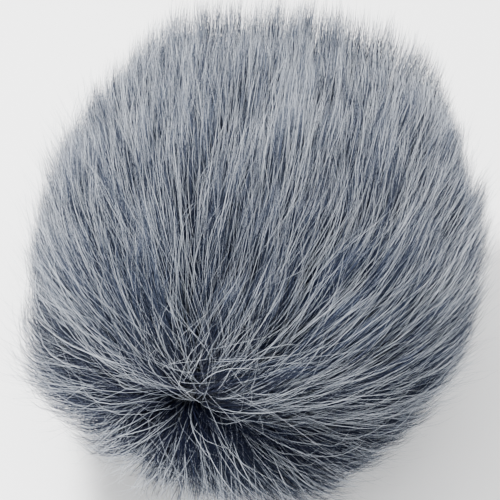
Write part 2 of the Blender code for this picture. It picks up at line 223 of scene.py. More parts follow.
def grow(disk, reach, lift, swing, power, points):
    """Strands from their roots: (count, points, 3). A power over 1 lays the tips down.

    reach is a strand's length along the form, lift the share of the pile's depth that it reaches."""
    place = disk.copy()
    rim = REAR_LENGTH + OVERHANG + lump(disk, RIM_LUMP, 21) * RIM_UNEVEN
    left = rim - np.linalg.norm(disk, axis=1)
    reach = np.minimum(reach, left * (0.25 + 0.75 * reach / USUAL_REACH))
    strand = np.empty((len(disk), points, 3))
    dip = seam_dip(disk)
    for k in range(points):
        share = k / (points - 1)
        height = lift * (1 - (1 - share) ** power) * (1 - dip * share)
        strand[:, k] = on_form(place, height)
        step = reach * ((k + 1) / (points - 1)) ** STEP_POWER - reach * share ** STEP_POWER
        place = place + flow(place, swing) * step[:, None]
    return strand


FLOOR_GAP = 0.5 * MM
FLOOR_BEND = 5 * MM  # hair lower than this over the gap is laid over
CUFF_CLEAR = 1.4 * MM
CUFF_AHEAD = 0.8 * MM


def keep_clear(strand):
    """Lays low hair along the floor, and keeps the rest outside the cuff and out of the lock's path."""
    z = strand[..., 2]
    bent = FLOOR_GAP + FLOOR_BEND * np.exp(np.clip((z - FLOOR_GAP - FLOOR_BEND) / FLOOR_BEND, -8, 0))
    strand[..., 2] = np.where(z < FLOOR_GAP + FLOOR_BEND, bent, z)
    x, y, z = strand[..., 0], strand[..., 1], strand[..., 2] - AXIS_Z
    half = (CUFF_HIGH - CUFF_LOW) / 2 + CUFF_CLEAR
    near = np.hypot(x / half[0], z / half[2])
    push = np.where((y > CUFF_LOW[1] - CUFF_AHEAD) & (near < 1), 1 / np.maximum(near, 0.2), 1.0)
    strand[..., 0] = x * push
    strand[..., 2] = z * push + AXIS_Z
    by_lock = (np.abs(x) < LOCK_CLEAR_X) & (np.abs(strand[..., 2] - LOCK_Z) < LOCK_CLEAR_Z)
    strand[..., 1] = np.where(by_lock, np.minimum(y, RIM_Y - LOCK_CLEAR_Y), y)
    return strand


# ---------------------------------------------------------------- strands as solid meshes
TONES = 64  # columns of the colour map, dark to light
SKEW = np.array([0.31, 0.22, 0.92])  # a direction that no strand runs along
THINNING_POWER = 2.2


def strand_mesh(name, strands, root_radius, tone, taper=0.85):
    """One closed three-sided tapering tube for each strand, with its colour map."""
    count, points, _ = strands.shape
    rings = points - 1
    ahead = np.empty_like(strands)
    ahead[:, 1:-1] = strands[:, 2:] - strands[:, :-2]
    ahead[:, 0] = strands[:, 1] - strands[:, 0]
    ahead[:, -1] = strands[:, -1] - strands[:, -2]
    ahead /= np.linalg.norm(ahead, axis=2, keepdims=True) + 1e-12
    side = np.cross(ahead, SKEW)
    side /= np.linalg.norm(side, axis=2, keepdims=True) + 1e-12
    up = np.cross(side, ahead)
    share = np.arange(rings) / rings
    radius = root_radius[:, None] * (1 - share[None] ** THINNING_POWER * taper)
    corner = math.tau * np.arange(3) / 3
    ring = (
        strands[:, :rings, None]
        + (side[:, :rings, None] * np.cos(corner)[None, None, :, None]
           + up[:, :rings, None] * np.sin(corner)[None, None, :, None]) * radius[:, :, None, None]
    )
    verts = np.concatenate([ring.reshape(count, rings * 3, 3), strands[:, -1:]], axis=1).reshape(-1, 3)
    stride = rings * 3 + 1

    quads, quad_uv = [], []
    for k in range(rings - 1):
        for j in range(3):
            n = (j + 1) % 3
            quads.append([k * 3 + j, k * 3 + n, k * 3 + 3 + n, k * 3 + 3 + j])
            quad_uv.append([(j, k), (j + 1, k), (j + 1, k + 1), (j, k + 1)])
    tris, tri_uv = [[0, 2, 1]], [[(0, 0), (2, 0), (1, 0.3)]]
    for j in range(3):
        tris.append([(rings - 1) * 3 + j, (rings - 1) * 3 + (j + 1) % 3, rings * 3])
        tri_uv.append([(j, rings - 1), (j + 1, rings - 1), (j + 0.5, rings)])
    base = np.arange(count)[:, None] * stride
    quad_index = (base[:, :, None] + np.array(quads)[None]).reshape(count, -1)
    tri_index = (base[:, :, None] + np.array(tris)[None]).reshape(count, -1)
    loops = np.concatenate([quad_index, tri_index], axis=1).reshape(-1)
    per_strand = [4] * len(quads) + [3] * len(tris)
    totals = np.tile(per_strand, count)
    starts = np.concatenate([[0], np.cumsum(totals)[:-1]])

    flat = np.array([uv for face in quad_uv + tri_uv for uv in face], float)
    column = np.floor(np.clip(tone, 0, 0.999) * TONES)
    u = (column[:, None] + 0.08 + 0.28 * flat[None, :, 0]) / TONES
    v = np.broadcast_to(0.01 + 0.98 * flat[None, :, 1] / rings, u.shape)

    mesh = bpy.data.meshes.new(name)
    mesh.vertices.add(len(verts))
    mesh.vertices.foreach_set("co", verts.astype(np.float32).reshape(-1))
    mesh.loops.add(len(loops))
    mesh.loops.foreach_set("vertex_index", loops.astype(np.int32))
    mesh.polygons.add(len(totals))
    mesh.polygons.foreach_set("loop_start", starts.astype(np.int32))
    layer = mesh.uv_layers.new(name=UV_NAME)
    layer.uv.foreach_set("vector", np.stack([u, v], 2).astype(np.float32).reshape(-1))
    mesh.update(calc_edges=True)
    mesh.polygons.foreach_set("use_smooth", np.ones(len(totals), bool))
    mesh.update()
    obj = bpy.data.objects.new(name, mesh)
    bpy.context.scene.collection.objects.link(obj)
    return obj


def clump(strands, roots, centres, guides, pull, power):
    """Draws each strand towards the nearest centre's guide strand, more and more to its tip."""
    tree = kdtree.KDTree(len(centres))
    for i, c in enumerate(centres):
        tree.insert((c[0], c[1], 0), i)
    tree.balance()
    nearest = np.array([tree.find((r[0], r[1], 0))[1] for r in roots])
    share = np.linspace(0, 1, strands.shape[1]) ** power
    weight = share[None, :, None] * pull[:, None, None]
    return strands + (guides[nearest] - strands) * weight, nearest


# ---------------------------------------------------------------- materials
def new_material(name):
    material = bpy.data.materials.new(name)
    material.use_nodes = True
    return material, material.node_tree.nodes, material.node_tree.links


def ramp(nodes, stops, mode="LINEAR"):
    node = nodes.new("ShaderNodeValToRGB")
    node.color_ramp.interpolation = mode
    while len(node.color_ramp.elements) < len(stops):
        node.color_ramp.elements.new(0.5)
    for element, (place, colour) in zip(node.color_ramp.elements, stops):
        element.position = place
        element.color = (*colour, 1)
    return node


def fur_material(name, root_to_tip_dark, root_to_tip_light, roughness, specular):
    """Hair coloured by its own map: tone across the map, root to tip up it."""
    material, nodes, links = new_material(name)
    shader = nodes["Principled BSDF"]
    place = nodes.new("ShaderNodeUVMap")
    place.uv_map = UV_NAME
    parts = nodes.new("ShaderNodeSeparateXYZ")
    links.new(place.outputs["UV"], parts.inputs[0])
    dark = ramp(nodes, root_to_tip_dark)
    light = ramp(nodes, root_to_tip_light)
    links.new(parts.outputs["Y"], dark.inputs[0])
    links.new(parts.outputs["Y"], light.inputs[0])
    mix = nodes.new("ShaderNodeMix")
    mix.data_type = "RGBA"
    links.new(parts.outputs["X"], mix.inputs["Factor"])
    links.new(dark.outputs[0], mix.inputs["A"])
    links.new(light.outputs[0], mix.inputs["B"])
    links.new(mix.outputs["Result"], shader.inputs["Base Color"])
    shader.inputs["Roughness"].default_value = roughness
    shader.inputs["Specular IOR Level"].default_value = specular
    return material


def make_pile_materials():
    # In the pile's and the guard hair's ramps, the near-black roots are partly the fur's own dark base and
    # partly painted shade down in the pile.
    pile = fur_material(
        "pile",
        [
            (0.0, (0.001, 0.002, 0.008)), (0.35, (0.003, 0.005, 0.019)),
            (0.7, (0.005, 0.008, 0.022)), (1.0, (0.020, 0.029, 0.055)),
        ],
        [
            (0.0, (0.002, 0.003, 0.013)), (0.4, (0.010, 0.015, 0.032)),
            (0.75, (0.085, 0.107, 0.155)), (1.0, (0.30, 0.338, 0.41)),
        ],
        roughness=0.5, specular=0.15,
    )
    guard = fur_material(
        "guard_hair",
        [(0.0, (0.012, 0.015, 0.026)), (0.3, (0.085, 0.098, 0.122)), (1.0, (0.20, 0.22, 0.255))],
        [(0.0, (0.05, 0.06, 0.08)), (0.25, (0.36, 0.395, 0.45)), (1.0, (0.60, 0.645, 0.71))],
        roughness=0.4, specular=0.3,
    )
    return pile, guard


# ---------------------------------------------------------------- the pile
POINTS = 6  # along a strand of undercoat
GUARD_POINTS = 9
PIECE_STRANDS = 6900  # keeps a piece under 200,000 triangles
PIECE_GUARDS = 4300
ROOTS_END = REAR_LENGTH - 0.5 * MM
TUFTS = 420
LOCKS = 3900  # smaller than a tuft; the undercoat gathers to them
UNDERCOAT, UNDERCOAT_QUICK = 70000, 16000
SHORT_SHARE = 0.48  # of the undercoat, short and dark: the dark is partly painted shade down in the pile
GUARDS, GUARDS_QUICK = 10500, 2400
GUARDS_BELOW = 0.75  # share of the guard hairs that is kept below the seam
STRAYS = 100
FINE_HAIRS, FINE_HAIRS_QUICK = 9000, 2000


def painted_shade_share(disk):
    """How far into the patch of painted shade a root lies, from 0 to 1."""
    return np.exp(-(((disk - PAINTED_SHADE_CENTRE) ** 2).sum(1) / PAINTED_SHADE_REACH ** 2))


def tone_of(random, disk):
    """A strand's tone, dark 0 to light 1: most are slate, some silver, in patches along the nap. Painted
    shade darkens it on the right, round the pile's darkest part and along the seam; painted light brightens
    it below the seam.
    """
    count = len(disk)
    slate = random.uniform(size=count) < 0.74
    tone = np.where(slate, random.beta(1.6, 5.2, count), random.beta(3.5, 2, count))
    along = np.linalg.norm(disk, axis=1)
    rear = np.clip((along - 75 * MM) / (60 * MM), -0.5, 1) * 0.18
    # Painted shade: hair darker on the right, the side turned away from the key light.
    right = 0.15 * soft_step((disk[:, 0] - 15 * MM) / (35 * MM))
    # Painted shade: hair darker round the pile's darkest part.
    painted_shade = 0.42 * painted_shade_share(disk)
    # Painted light: hair below the seam is lighter, standing in for light reaching the underside.
    below = 0.45 * np.clip((-(disk @ SEAM_NORMAL) - 12 * MM) / (12 * MM), 0, 1)
    patches = lump(disk, 32 * MM, 71) * 0.10
    # Painted shade: hair darker in the valley along the crown seam, where the pile stands lower.
    return tone + patches + rear + below - right - painted_shade - 0.3 * seam_dip(disk)


def pile_shape(random, disk, swing, lift):
    """Each strand's turn off the nap and the height it reaches, with soft waves and lumps."""
    count = len(disk)
    near = 1 + 1.7 * np.exp(-(((disk - NAP_CENTRE) ** 2).sum(1) / (16 * MM) ** 2))
    above = soft_step((disk @ SEAM_NORMAL) / (30 * MM))
    combed = COMB_RIGHT * soft_step(disk[:, 0] / (55 * MM)) * above
    waves = (lump(disk, 14 * MM, 13) * 0.08 + random.normal(0, swing, count)) * near
    turn = combed + lump(disk, 45 * MM, 11) * 0.13 + waves
    high = 0.94 + lump(disk, 26 * MM, 12) * 0.13 + random.normal(0, lift, count)
    return turn, np.clip(high, 0.4, 1.14)


def finer(guides, points):
    """The same strands with more points along them."""
    old, new = np.linspace(0, 1, guides.shape[1]), np.linspace(0, 1, points)
    index = np.searchsorted(old, new, side="right").clip(1, len(old) - 1)
    share = (new - old[index - 1]) / (old[index] - old[index - 1])
    return guides[:, index - 1] * (1 - share)[None, :, None] + guides[:, index] * share[None, :, None]


def add_pieces(name, strands, roots, radius, tone, material, taper, size):
    """Strands as pieces of at most size each, apart above and below the seam."""
    above = roots @ SEAM_NORMAL > 0
    for side, pick in (("upper", above), ("lower", ~above)):
        index = np.nonzero(pick)[0]
        index = index[np.argsort(np.arctan2(roots[index, 1], roots[index, 0]), kind="stable")]
        parts = max(1, math.ceil(len(index) / size))
        for i, part in enumerate(np.array_split(index, parts)):
            piece_name = f"{name}_{side}_{i + 1:02d}"
            piece = strand_mesh(piece_name, strands[part], radius[part], tone[part], taper)
            piece.data.materials.append(material)
            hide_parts(f"fur_panel_{side}")
            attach(piece, "muff")


def loosen(random, strands, spread, along):
    """Moves each strand by its own random offset, weighted along it."""
    return strands + random.normal(0, spread, (len(strands), 1, 3)) * along[None, :, None]


def make_guides(random):
    """The locks that the pile gathers to, themselves gathered to tufts: roots, strands and tones."""
    tufts = sample_roots(random, TUFTS, 0.0, ROOTS_END)
    turn, lift = pile_shape(random, tufts, 0.17, 0.11)
    tuft = grow(tufts, random.uniform(31, 38, TUFTS) * MM, lift, turn, 1.3, POINTS)

    locks = sample_roots(random, LOCKS, 0.0, ROOTS_END)
    turn, lift = pile_shape(random, locks, 0.13, 0.11)
    lock = grow(locks, random.uniform(27, 39, LOCKS) * MM, lift, turn, 1.3, POINTS)
    lock, nearest = clump(lock, locks, tufts, tuft, random.uniform(0.2, 0.65, LOCKS), 1.5)
    tone = random.normal(0, 0.15, LOCKS) + random.normal(0, 0.10, TUFTS)[nearest]
    return locks, lock, tone


def make_undercoat(random, guides, material):
    """The dense pile, about half of it short and dark (partly painted shade down in the pile), in locks
    that are looser at the rear rim.
    """
    locks, lock, lock_tone = guides
    count = UNDERCOAT
    roots = sample_roots(random, count, 0.0, ROOTS_END)
    turn, lift = pile_shape(random, roots, 0.10, 0.10)
    is_short = random.uniform(size=count) < SHORT_SHARE
    size = np.where(is_short, random.uniform(0.5, 0.8, count), random.uniform(0.85, 1.14, count))
    reach = random.uniform(29, 36, count) * MM * size
    strands = grow(roots, reach, lift * np.minimum(size, 1.0), turn, 1.3, POINTS)

    rim = soft_step((np.linalg.norm(roots, axis=1) - REAR_LENGTH + 32 * MM) / (22 * MM))
    pull = random.uniform(0.68, 1.0, count) * np.minimum(size, 1) * (1 - 0.55 * rim)
    strands, nearest = clump(strands, roots, locks, lock, pull, 1.05)
    share = np.linspace(0, 1, POINTS) ** 2
    offset = random.normal(0, 0.9 * MM, (count, 1, 3)) * (1 + 0.8 * rim)[:, None, None]
    strands += offset * share[None, :, None]

    tone = tone_of(random, roots) + lock_tone[nearest]
    # Short hairs darkened: partly their own colour, partly painted shade in the gaps of the pile.
    tone = np.clip(tone * np.where(is_short, 0.3, 1.0), 0, 1)
    radius = random.uniform(0.07, 0.115, count) * MM * 1.0
    add_pieces("fur_pile", keep_clear(strands), roots, radius, tone, material, 0.85, PIECE_STRANDS)


def make_strays(random, along):
    """Long loose hairs that cross each other where the nap parts: their roots and strands."""
    roots = sample_roots(random, STRAYS, 3 * MM, 30 * MM)
    turn = random.normal(0, 0.4, STRAYS)
    reach = random.uniform(10, 24, STRAYS) * MM
    strands = grow(roots, reach, random.uniform(0.75, 1.15, STRAYS), turn, 1.0, GUARD_POINTS)
    return roots, loosen(random, strands, 0.5 * MM, np.sin(math.pi * along))


def make_guard_hairs(random, guides, material):
    """Long pale hairs over the undercoat, and the strays."""
    locks, lock, _ = guides
    roots = sample_roots(random, GUARDS, 0.0, ROOTS_END)
    roots = roots[(roots @ SEAM_NORMAL > 0) | (random.uniform(size=len(roots)) < GUARDS_BELOW)]
    count = len(roots)
    turn, lift = pile_shape(random, roots, 0.15, 0.07)
    reach = random.uniform(29, 43, count) * MM
    hair = grow(roots, reach, lift * random.uniform(0.98, 1.12, count), turn, 1.2, GUARD_POINTS)
    pull = random.uniform(0.2, 0.9, count)
    hair, _ = clump(hair, roots, locks, finer(lock, GUARD_POINTS), pull, 1.3)
    along = np.linspace(0, 1, GUARD_POINTS)
    hair = loosen(random, hair, 1.2 * MM, along ** 2)
    hair = loosen(random, hair, 0.8 * MM, np.sin(math.pi * along))

    stray_roots, stray = make_strays(random, along)
    hair = keep_clear(np.concatenate([hair, stray]))
    roots = np.concatenate([roots, stray_roots])
    count = len(roots)
    is_grey = random.uniform(size=count) < 0.55
    tone = np.where(is_grey, random.beta(1.2, 2.4, count), random.beta(3.0, 1.0, count))
    # Painted shade: the guard hairs are darker round the pile's darkest part too.
    tone = np.clip(tone - 0.45 * painted_shade_share(roots), 0, 1)
    radius = random.uniform(0.07, 0.115, count) * MM
    add_pieces("guard_hair", hair, roots, radius, tone, material, 0.75, PIECE_GUARDS)


def make_fine_hairs(random, material):
    """The finest hairs, which stand out furthest and soften the outline."""
    count = FINE_HAIRS
    roots = sample_roots(random, count, 0.0, ROOTS_END)
    turn, lift = pile_shape(random, roots, 0.3, 0.1)
    reach = random.uniform(20, 32, count) * MM
    hair = grow(roots, reach, lift * random.uniform(1.02, 1.22, count), turn, 1.15, POINTS)
    hair = loosen(random, hair, 1.3 * MM, np.linspace(0, 1, POINTS) ** 1.5)
    tone = random.uniform(0.2, 0.9, count)
    radius = random.uniform(0.035, 0.055, count) * MM
    add_pieces("fine_hair", keep_clear(hair), roots, radius, tone, material, 0.8, PIECE_STRANDS)


def make_pile(pile, guard):
    random = np.random.default_rng(20240611)
    guides = make_guides(random)
    make_undercoat(random, guides, pile)
    make_guard_hairs(random, guides, guard)
    make_fine_hairs(random, guard)


# ---------------------------------------------------------------- the sewn layers under the pile
def solid_object(name, verts, faces):
    """An object from its vertices and faces, with its normals outwards."""
    mesh = bpy.data.meshes.new(name)
    mesh.from_pydata([tuple(p) for p in verts], [], faces)
    form = bmesh.new()
    form.from_mesh(mesh)
    bmesh.ops.recalc_face_normals(form, faces=form.faces)
    form.to_mesh(mesh)
    form.free()
    obj = bpy.data.objects.new(name, mesh)
    bpy.context.scene.collection.objects.link(obj)
    return obj


def closed_shell(name, outer, inner, rows, columns):
    """A closed sheet between two grids of points."""
    grid = rows * columns
    faces = []
    for i in range(rows - 1):
        for j in range(columns - 1):
            a, b = i * columns + j, i * columns + j + 1
            c, d = a + columns, b + columns
            faces.append((a, b, d, c))
            faces.append((grid + a, grid + c, grid + d, grid + b))
    for i in (0, rows - 1):
        for j in range(columns - 1):
            a, b = i * columns + j, i * columns + j + 1
            faces.append((a, b, grid + b, grid + a))
    for j in (0, columns - 1):
        for i in range(rows - 1):
            a, b = i * columns + j, (i + 1) * columns + j
            faces.append((a, b, grid + b, grid + a))
    obj = solid_object(name, np.concatenate([outer, inner]), faces)
    obj.data.shade_smooth()
    obj.data.set_sharp_from_angle(angle=math.radians(50))
    return obj


SEAM_GAP = 0.012  # left open at the seam and the crown: in radians, and as a share of a meridian


def make_layer(name, sign, halves, crowns, folds, rows=70, columns=110):
    """One panel of a sewn layer, above (1) or below (-1) the crown seam.

    halves and crowns are the layer's outer and inner widest half-axes and crown reaches; folds
    gives how far each place is pushed in or out, from its share of the length and its angle."""
    half_turn = np.linspace(SEAM_GAP, math.pi - SEAM_GAP, columns)
    turn = np.tile(half_turn - SEAM_SLANT + (0 if sign > 0 else math.pi), rows)
    deep = folds(np.repeat(np.linspace(0, 1, rows), columns), turn)
    grids = []
    for half, crown in zip(halves, crowns):
        y, share = meridian(crown, INNER_TAPER)
        step = np.concatenate([[0], np.cumsum(np.hypot(np.diff(y), np.diff(share) * half[0]))])
        place = np.linspace(step[-1] * SEAM_GAP, step[-1], rows)
        ys = np.repeat(np.interp(place, step, y), columns)
        shares = np.repeat(np.interp(place, step, share), columns)
        x = (shares * half[0] + deep) * np.cos(turn)
        z = (shares * half[1] + deep) * np.sin(turn) + AXIS_Z
        grids.append(np.stack([x, ys, z], 1))
    return closed_shell(name, grids[0], grids[1], rows, columns)


def flat_folds(along, turn):
    """No folds."""
    return np.zeros(len(along))


def backing_folds(along, turn):
    """The knitted backing puckers a little where it is sewn to the cuff."""
    return 0.2 * MM * np.sin(turn * 46 + 2 * np.sin(turn * 7)) * along ** 6


def lining_folds(along, turn):
    """The lining is eased in: soft gathers hang inwards, and lie flat under the tape and binding."""
    wave = np.sin(turn * 38 + 1.7 * np.sin(turn * 5 + 1)) + 0.5 * np.sin(turn * 61 + 2)
    clear = np.clip((np.abs(np.sin(turn + SEAM_SLANT)) - 0.25) / 0.3, 0, 1)
    deep = np.exp(-(((along - 0.72) / 0.09) ** 2)) + 0.5 * np.exp(-(((along - 0.4) / 0.12) ** 2))
    return -0.4 * MM * (1 + wave / 1.5) * deep * clear


def make_layers(materials):
    for side, sign in (("upper", 1), ("lower", -1)):
        backing = make_layer(
            f"fur_backing_{side}", sign, (BACK_HALF + BACKING, BACK_HALF),
            (BACK_CROWN + BACKING, BACK_CROWN), backing_folds,
        )
        foam = make_layer(
            f"foam_{side}", sign, (FOAM_HALF, FOAM_HALF - FOAM_WALL),
            (-FOAM_LOW[1], -FOAM_LOW[1] - FOAM_WALL), flat_folds,
        )
        lining = make_layer(
            f"lining_{side}", sign, (LINING_HALF, LINING_HALF - LINING_WALL),
            (-LINING_LOW[1], -LINING_LOW[1] - LINING_WALL), lining_folds, rows=90, columns=220,
        )
        for piece, node, slot, look in (
            (backing, f"fur_panel_{side}", "fur", "backing"),
            (foam, f"foam_panel_{side}", "foam", "foam"),
            (lining, f"lining_panel_{side}", "lining", "lining"),
        ):
            piece.data.materials.append(materials[look])
            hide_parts(node)
            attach(piece, "muff")


# ---------------------------------------------------------------- the cuff and its topstitching
CUFF_WALL = 8 * MM
CUFF_HALF = (CUFF_HIGH - CUFF_LOW)[[0, 2]] / 2 - CUFF_WALL / 2
CHANNEL_RADIUS = 2.25 * MM
EXIT_RADIUS = 3.0 * MM
STITCH_INSET = 2.5 * MM
STITCH_PITCH = 3.1 * MM
STITCH_HALF = 1.18 * MM
STITCH_DEEP = 0.72 * MM  # how far its ends lie under the face
STITCH_RISE = 0.42 * MM  # and how much higher its middle is
STITCH_RINGS, STITCH_SIDES = 7, 8
THREAD_RADIUS = 0.24 * MM
CUFF_ROUND = 2 / 5  # the section's power: lower is squarer
CUFF_SLACK = 0.35 * MM  # room for the wall to swell
CHANNEL_Y = (CUFF_LOW[1] + RIM_Y) / 2
EXIT_Z = AXIS_Z - CUFF_HALF[1]


def oval(turn, offset):
    """Points on the oval that stands off the middle of the cuff's wall, from its bottom round."""
    x, z = -CUFF_HALF[0] * np.sin(turn), -CUFF_HALF[1] * np.cos(turn)
    way = np.stack([x / CUFF_HALF[0] ** 2, z / CUFF_HALF[1] ** 2], -1)
    way /= np.linalg.norm(way, axis=-1, keepdims=True)
    return x + way[..., 0] * offset, AXIS_Z + z + way[..., 1] * offset


def tube_mesh(name, route, radius, sides, closed):
    """A tube of one radius along a route, with flat ends unless it is a ring."""
    route = np.asarray(route, float)
    count = len(route)
    ahead = np.roll(route, -1, 0) - np.roll(route, 1, 0)
    if not closed:
        ahead[0], ahead[-1] = route[1] - route[0], route[-1] - route[-2]
    ahead /= np.linalg.norm(ahead, axis=1)[:, None]
    guide = np.array([0.0, 1.0, 0.0]) if closed else np.array([0.0, 0.0, 1.0])
    side = np.cross(ahead, guide)
    side /= np.linalg.norm(side, axis=1)[:, None]
    up = np.cross(side, ahead)
    turn = np.linspace(0, math.tau, sides, endpoint=False)[None, :, None]
    ring = route[:, None] + (side[:, None] * np.cos(turn) + up[:, None] * np.sin(turn)) * radius
    faces = []
    for i in range(count if closed else count - 1):
        for j in range(sides):
            n, m = (i + 1) % count, (j + 1) % sides
            faces.append((i * sides + j, n * sides + j, n * sides + m, i * sides + m))
    if not closed:
        faces.append(tuple(range(sides)))
        faces.append(tuple(reversed(range((count - 1) * sides, count * sides))))
    return solid_object(name, ring.reshape(-1, 3), faces)


def cuff_relief(turn, corner, along, length):
    """How far the cuff's wall swells or is drawn in, for each turn round the muff and its section."""
    inset = np.abs(np.abs(along) - (length / 2 - STITCH_INSET))
    face = np.abs(np.cos(corner)) ** 0.5
    pinch = np.exp(-((inset / (0.75 * MM)) ** 2)) * face
    bulge = np.exp(-((along / (3.2 * MM)) ** 2)) * face
    near_stitch = np.exp(-inset / (1.6 * MM)) * face
    wave = np.sin(turn * 88 + 1.4 * np.sin(turn * 9)) * 0.6
    wave += np.sin(turn * 57 + 2.1 * np.sin(turn * 4 + 1)) * 0.4
    return (
        -0.28 * MM * pinch[None] + 0.22 * MM * bulge[None]
        + (0.16 * MM * wave[:, None] - 0.10 * MM) * near_stitch[None]
        + 0.05 * MM * np.sin(turn * 31)[:, None] * bulge[None]
    )


def cut_away(obj, cutter):
    """Takes the cutter out of the object for good, and removes it."""
    modifier = obj.modifiers.new("cut", "BOOLEAN")
    modifier.operation = "DIFFERENCE"
    modifier.object = cutter
    cut = bpy.data.meshes.new_from_object(obj.evaluated_get(bpy.context.evaluated_depsgraph_get()))
    obj.modifiers.clear()
    obj.data = cut
    bpy.data.objects.remove(cutter)


def make_cuff(material):
    """A folded neoprene band: rounded edges, puckered by its stitching, fuller over the channel."""
    length = RIM_Y - CUFF_LOW[1]
    turns, around = 600, 64
    turn = np.linspace(0, math.tau, turns, endpoint=False)
    corner = np.linspace(0, math.tau, around, endpoint=False)
    cos, sin = np.cos(corner), np.sin(corner)
    out = np.sign(cos) * np.abs(cos) ** CUFF_ROUND * (CUFF_WALL / 2 - CUFF_SLACK)
    along = np.sign(sin) * np.abs(sin) ** CUFF_ROUND * length / 2
    offset = np.sign(out)[None] * (np.abs(out)[None] + cuff_relief(turn, corner, along, length))
    x, z = oval(np.repeat(turn[:, None], around, 1), offset)
    y = np.repeat((CHANNEL_Y + along)[None], turns, 0)
    faces = []
    for i in range(turns):
        for j in range(around):
            n, m = (i + 1) % turns, (j + 1) % around
            faces.append((i * around + j, i * around + m, n * around + m, n * around + j))
    cuff = solid_object("cuff_band", np.stack([x, y, z], -1).reshape(-1, 3), faces)
    ring_x, ring_z = oval(np.linspace(0, math.tau, 120, endpoint=False), 0.0)
    ring = np.stack([ring_x, np.full(120, CHANNEL_Y), ring_z], 1)
    way_out = [(0, CHANNEL_Y, EXIT_Z), (0, RIM_Y + 2 * MM, EXIT_Z)]
    channel = tube_mesh("channel", ring, CHANNEL_RADIUS, 20, True)
    hole = tube_mesh("exit", way_out, EXIT_RADIUS, 40, False)
    cut_away(cuff, channel)
    cut_away(cuff, hole)
    cuff.data.name = "cuff_band"
    cuff.data.shade_smooth()
    cuff.data.set_sharp_from_angle(angle=math.radians(60))
    cuff.data.materials.clear()
    cuff.data.materials.append(material)
    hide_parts("cuff")
    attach(cuff, "muff")


def stitch(middle, y, length, fine):
    """One short stitch's vertices, bent into the cuff's face at both ends."""
    share = np.linspace(-1, 1, STITCH_RINGS)
    places = middle + share * STITCH_HALF
    turn = np.interp(places % length[-1], length, fine)
    rise = STITCH_RISE * (1 - share ** 4)
    cx, cz = oval(turn, CUFF_WALL / 2 - STITCH_DEEP + rise)
    slim = THREAD_RADIUS * np.sqrt(np.clip(1.04 - share ** 8, 0.05, 1))
    verts = []
    for k in range(STITCH_RINGS):
        after, before = min(k + 1, STITCH_RINGS - 1), max(k - 1, 0)
        way = np.array([cx[after] - cx[before], cz[after] - cz[before]])
        way /= np.linalg.norm(way)
        for j in range(STITCH_SIDES):
            out, over = math.cos(math.tau * j / STITCH_SIDES), math.sin(math.tau * j / STITCH_SIDES)
            verts.append((
                cx[k] - way[1] * out * slim[k],
                y + over * slim[k],
                cz[k] + way[0] * out * slim[k],
            ))
    return verts


def stitch_faces(base):
    faces = []
    for k in range(STITCH_RINGS - 1):
        low, high = base + k * STITCH_SIDES, base + (k + 1) * STITCH_SIDES
        for j in range(STITCH_SIDES):
            m = (j + 1) % STITCH_SIDES
            faces.append((low + j, low + m, high + m, high + j))
    last = base + (STITCH_RINGS - 1) * STITCH_SIDES
    faces.append(tuple(base + j for j in reversed(range(STITCH_SIDES))))
    faces.append(tuple(last + j for j in range(STITCH_SIDES)))
    return faces


def make_stitches(material):
    """Two rows of topstitching, as separate short stitches that sit in the cuff's outer face."""
    fine = np.linspace(0, math.tau, 4001)
    x, z = oval(fine, CUFF_WALL / 2 + 0.2 * MM)
    length = np.concatenate([[0], np.cumsum(np.hypot(np.diff(x), np.diff(z)))])
    count = int(length[-1] / STITCH_PITCH)
    pitch = length[-1] / count
    for name, y in (("front", CUFF_LOW[1] + STITCH_INSET), ("rear", RIM_Y - STITCH_INSET)):
        verts, faces = [], []
        for i in range(count):
            faces += stitch_faces(len(verts))
            verts += stitch((i + 0.5) * pitch, y, length, fine)
        obj = solid_object(f"topstitch_{name}", verts, faces)
        obj.data.shade_smooth()
        obj.data.materials.append(material)
        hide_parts(f"cuff_stitching_{name}")
        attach(obj, "muff")


